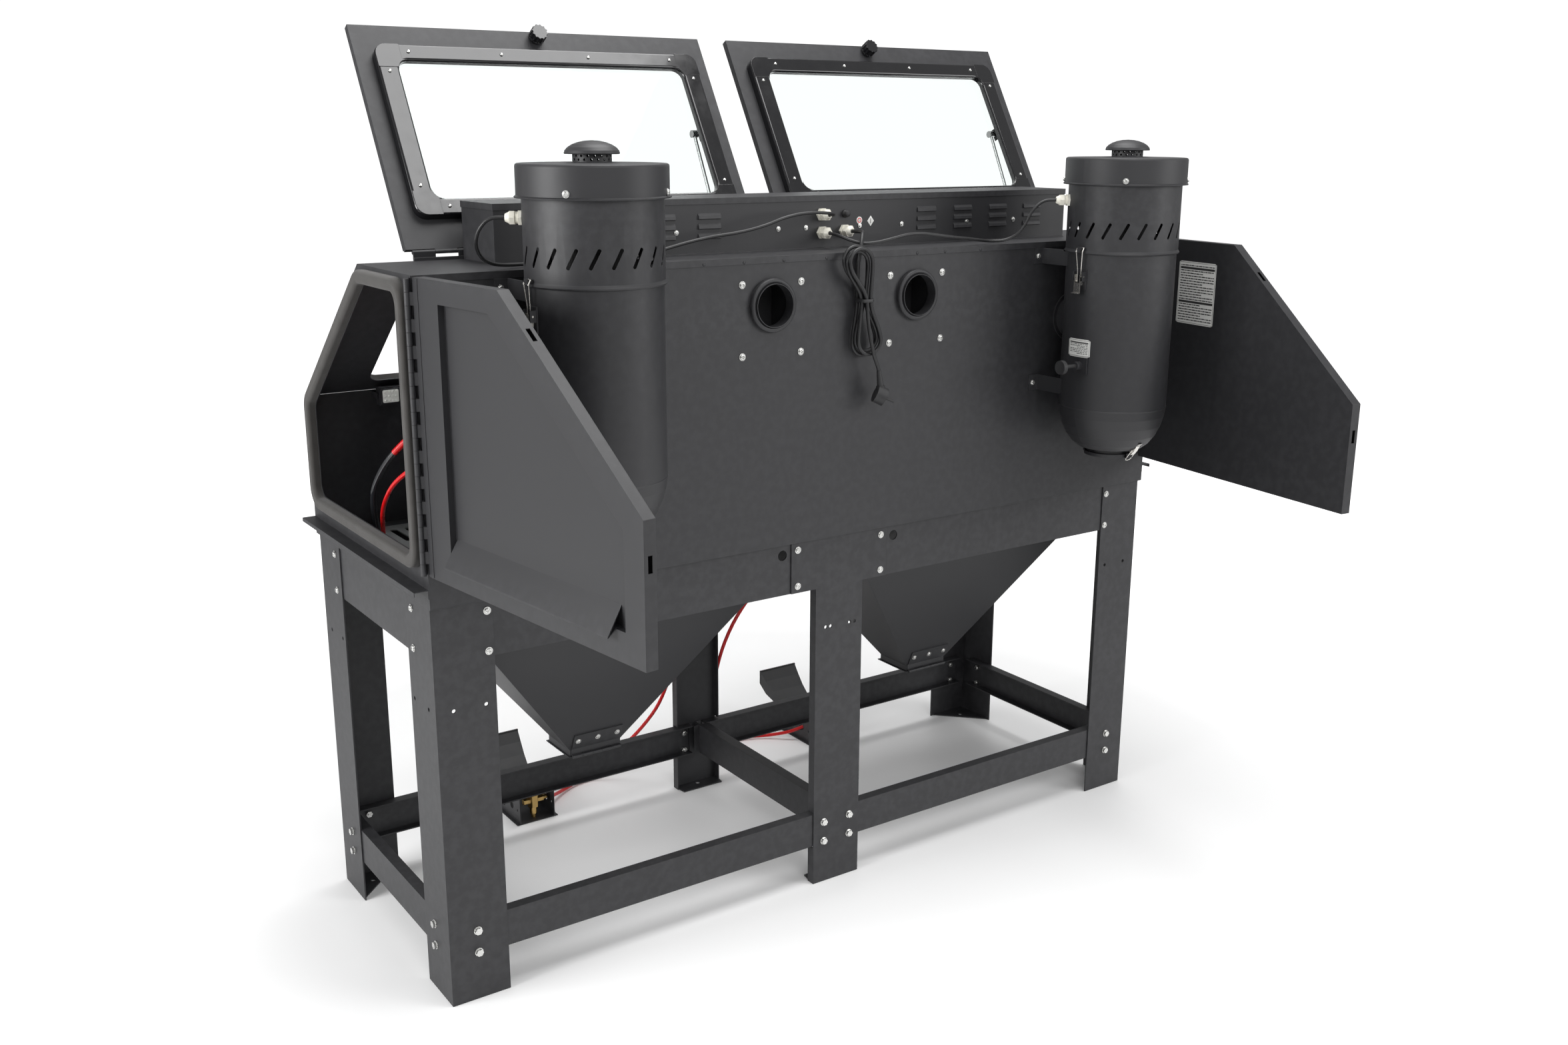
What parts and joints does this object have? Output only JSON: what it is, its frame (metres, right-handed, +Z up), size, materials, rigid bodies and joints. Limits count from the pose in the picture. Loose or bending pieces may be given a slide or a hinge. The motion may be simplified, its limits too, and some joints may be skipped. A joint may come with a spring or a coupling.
{
  "type": "sandblast cabinet",
  "caption": "Freestanding double suction sandblast cabinet with hinged end doors, sloped viewing lids on gas struts, hoppers, dust canisters and foot pedals on a sheet-metal stand.",
  "frame": {"origin": "centre of the stand's four corner foot holes, on the floor", "axes": "+Z up, +X along the length to the operator's right, +Y from the operator (front) to the canister side (rear)"},
  "size_m": [1.89, 1.5137, 1.8415],
  "materials": {
    "black_powder_coat": "fine-textured matt powder coat, near black",
    "zinc_plate": "bright zinc plated steel",
    "soft_rubber": "matt black sponge rubber",
    "glove_rubber": "soft matt black rubber",
    "gloss_black_trim": "glossy black moulded plastic",
    "window_glass": "clear laminated glass",
    "steel_grate": "galvanised perforated sheet",
    "polished_steel": "nickel plated, polished",
    "black_plastic": "matt black moulded plastic",
    "cream_plastic": "cream moulded plastic",
    "brass": "turned brass",
    "red_hose": "smooth red air hose",
    "cable_black": "black flexible cable sheath",
    "cast_alloy": "bead-blasted cast alloy",
    "pleated_media": "white pleated filter media",
    "supply_case": "folded aluminium case"
  },
  "bodies": {
    "cabinet": {"back_panel": "black_powder_coat", "blower_motors": "black_plastic", "cable_glands": "cream_plastic", "canister_bodies": "black_powder_coat", "canister_caps": "black_powder_coat", "canister_heads": "black_powder_coat", "cord_hank": "cable_black", "corner_legs": "black_powder_coat", "electrical_box": "black_powder_coat", "end_panels": "black_powder_coat", "fan_cables": "cable_black", "filter_cartridges": "pleated_media", "floodlights": "cast_alloy", "floor_plate": "black_powder_coat", "front_panel": "black_powder_coat", "glove_rings": "black_plastic", "gloves": "glove_rubber", "hex_bolts": "zinc_plate", "hoppers": "black_powder_coat", "hoses": "red_hose", "lower_braces": "black_powder_coat", "mains_cord": "cable_black", "mains_plug": "cable_black", "middle_legs": "black_powder_coat", "pan_screws": "zinc_plate", "pedal_bases": "black_powder_coat", "pedal_valves": "brass", "piano_hinges": "black_powder_coat", "power_supply": "supply_case", "rear_ports": "black_powder_coat", "rubber_seals": "soft_rubber", "spray_guns": "cast_alloy", "top_panel": "black_powder_coat", "upper_rails": "black_powder_coat", "work_grates": "steel_grate"},
    "canister_latch_left": {"canister_latch_left": "polished_steel"},
    "canister_latch_right": {"canister_latch_right": "polished_steel"},
    "door_left": {"door_left": "black_powder_coat"},
    "door_right": {"door_right": "black_powder_coat"},
    "drain_cap_left": {"drain_cap_left": "black_powder_coat"},
    "drain_cap_right": {"drain_cap_right": "black_powder_coat"},
    "hopper_flap_left": {"hopper_flap_left": "black_powder_coat"},
    "hopper_flap_right": {"hopper_flap_right": "black_powder_coat"},
    "latch_bail_left": {"latch_bail_left": "polished_steel"},
    "latch_bail_right": {"latch_bail_right": "polished_steel"},
    "lid_left": {"lid_left": "black_powder_coat", "lid_window_left": "window_glass", "window_trim_left": "gloss_black_trim"},
    "lid_right": {"lid_right": "black_powder_coat", "lid_window_right": "window_glass", "window_trim_right": "gloss_black_trim"},
    "shaker_knob_left": {"shaker_knob_left": "black_plastic"},
    "shaker_knob_right": {"shaker_knob_right": "black_plastic"},
    "strut_cylinder_left": {"strut_cylinder_left": "black_powder_coat"},
    "strut_cylinder_right": {"strut_cylinder_right": "black_powder_coat"},
    "strut_rod_left": {"strut_rod_left": "polished_steel"},
    "strut_rod_right": {"strut_rod_right": "polished_steel"},
    "switch_rocker": {"switch_rocker": "black_plastic"},
    "treadle_left": {"treadle_left": "black_plastic"},
    "treadle_right": {"treadle_right": "black_plastic"}
  },
  "joints": [
    {"name": "door_right_hinge", "type": "hinge", "parent": "cabinet", "child": "door_right", "pos_m": [0.926, 0.318, 1.132], "axis": [0, 0, 1], "range_deg": [-187.3, 0]},
    {"name": "lid_right_hinge", "type": "hinge", "parent": "cabinet", "child": "lid_right", "pos_m": [0.429, 0.046, 1.412], "axis": [1, 0, 0], "range_deg": [0, 98]},
    {"name": "strut_right_pivot", "type": "hinge", "parent": "cabinet", "child": "strut_cylinder_right", "pos_m": [0.107, 0.03558, 1.3527], "axis": [1, 0, 0], "range_deg": [0, 95.92]},
    {"name": "strut_right_stroke", "type": "slide", "parent": "strut_cylinder_right", "child": "strut_rod_right", "axis": [0, -0.4391, 0.8985], "range_m": [-0.09049, 0]},
    {"name": "treadle_right_pivot", "type": "hinge", "parent": "cabinet", "child": "treadle_right", "pos_m": [0.434, -0.452, 0.044], "axis": [1, 0, 0], "range_deg": [0, 12], "stiffness_Nm_per_rad": 8, "springref_deg": -20.05},
    {"name": "hopper_flap_right_hinge", "type": "hinge", "parent": "cabinet", "child": "hopper_flap_right", "pos_m": [0.4645, 0.058, 0.331], "axis": [1, 0, 0], "range_deg": [0, 95]},
    {"name": "drain_cap_right_hinge", "type": "hinge", "parent": "cabinet", "child": "drain_cap_right", "pos_m": [0.643, 0.3964, 0.9325], "axis": [-1, 0, 0], "range_deg": [0, 100]},
    {"name": "shaker_right_pull", "type": "slide", "parent": "cabinet", "child": "shaker_knob_right", "axis": [1, 0, 0], "range_m": [0, 0.02]},
    {"name": "latch_right_lever", "type": "hinge", "parent": "cabinet", "child": "canister_latch_right", "pos_m": [0.7685, 0.4564, 1.334], "axis": [0, -1, 0], "range_deg": [0, 100]},
    {"name": "latch_right_bail", "type": "hinge", "parent": "canister_latch_right", "child": "latch_bail_right", "pos_m": [0.768, 0.4564, 1.324], "axis": [0, -1, 0], "range_deg": [-89, 0]},
    {"name": "door_left_hinge", "type": "hinge", "parent": "cabinet", "child": "door_left", "pos_m": [-0.926, 0.318, 1.132], "axis": [0, 0, 1], "range_deg": [0, 187.3]},
    {"name": "lid_left_hinge", "type": "hinge", "parent": "cabinet", "child": "lid_left", "pos_m": [-0.429, 0.046, 1.412], "axis": [1, 0, 0], "range_deg": [0, 98]},
    {"name": "strut_left_pivot", "type": "hinge", "parent": "cabinet", "child": "strut_cylinder_left", "pos_m": [-0.751, 0.03558, 1.3527], "axis": [1, 0, 0], "range_deg": [0, 95.92]},
    {"name": "strut_left_stroke", "type": "slide", "parent": "strut_cylinder_left", "child": "strut_rod_left", "axis": [0, -0.4391, 0.8985], "range_m": [-0.09049, 0]},
    {"name": "treadle_left_pivot", "type": "hinge", "parent": "cabinet", "child": "treadle_left", "pos_m": [-0.434, -0.452, 0.044], "axis": [1, 0, 0], "range_deg": [0, 12], "stiffness_Nm_per_rad": 8, "springref_deg": -20.05},
    {"name": "hopper_flap_left_hinge", "type": "hinge", "parent": "cabinet", "child": "hopper_flap_left", "pos_m": [-0.4645, 0.058, 0.331], "axis": [1, 0, 0], "range_deg": [0, 95]},
    {"name": "drain_cap_left_hinge", "type": "hinge", "parent": "cabinet", "child": "drain_cap_left", "pos_m": [-0.643, 0.3964, 0.9325], "axis": [-1, 0, 0], "range_deg": [0, 100]},
    {"name": "shaker_left_pull", "type": "slide", "parent": "cabinet", "child": "shaker_knob_left", "axis": [1, 0, 0], "range_m": [0, 0.02]},
    {"name": "latch_left_lever", "type": "hinge", "parent": "cabinet", "child": "canister_latch_left", "pos_m": [-0.5175, 0.4564, 1.334], "axis": [0, -1, 0], "range_deg": [0, 100]},
    {"name": "latch_left_bail", "type": "hinge", "parent": "canister_latch_left", "child": "latch_bail_left", "pos_m": [-0.518, 0.4564, 1.324], "axis": [0, -1, 0], "range_deg": [-89, 0]},
    {"name": "switch_rock", "type": "hinge", "parent": "cabinet", "child": "switch_rocker", "pos_m": [0.611, 0.057, 1.45], "axis": [1, 0, 0], "range_deg": [0, 16]}
  ],
  "couplings": [
    {"joint": "strut_right_pivot", "follows": "lid_right_hinge", "ratio": 0.97823},
    {"joint": "strut_right_stroke", "follows": "lid_right_hinge", "m_per_rad": -0.052845},
    {"joint": "latch_right_bail", "follows": "latch_right_lever", "ratio": -0.89},
    {"joint": "strut_left_pivot", "follows": "lid_left_hinge", "ratio": 0.97823},
    {"joint": "strut_left_stroke", "follows": "lid_left_hinge", "m_per_rad": -0.052845},
    {"joint": "latch_left_bail", "follows": "latch_left_lever", "ratio": -0.89}
  ]
}
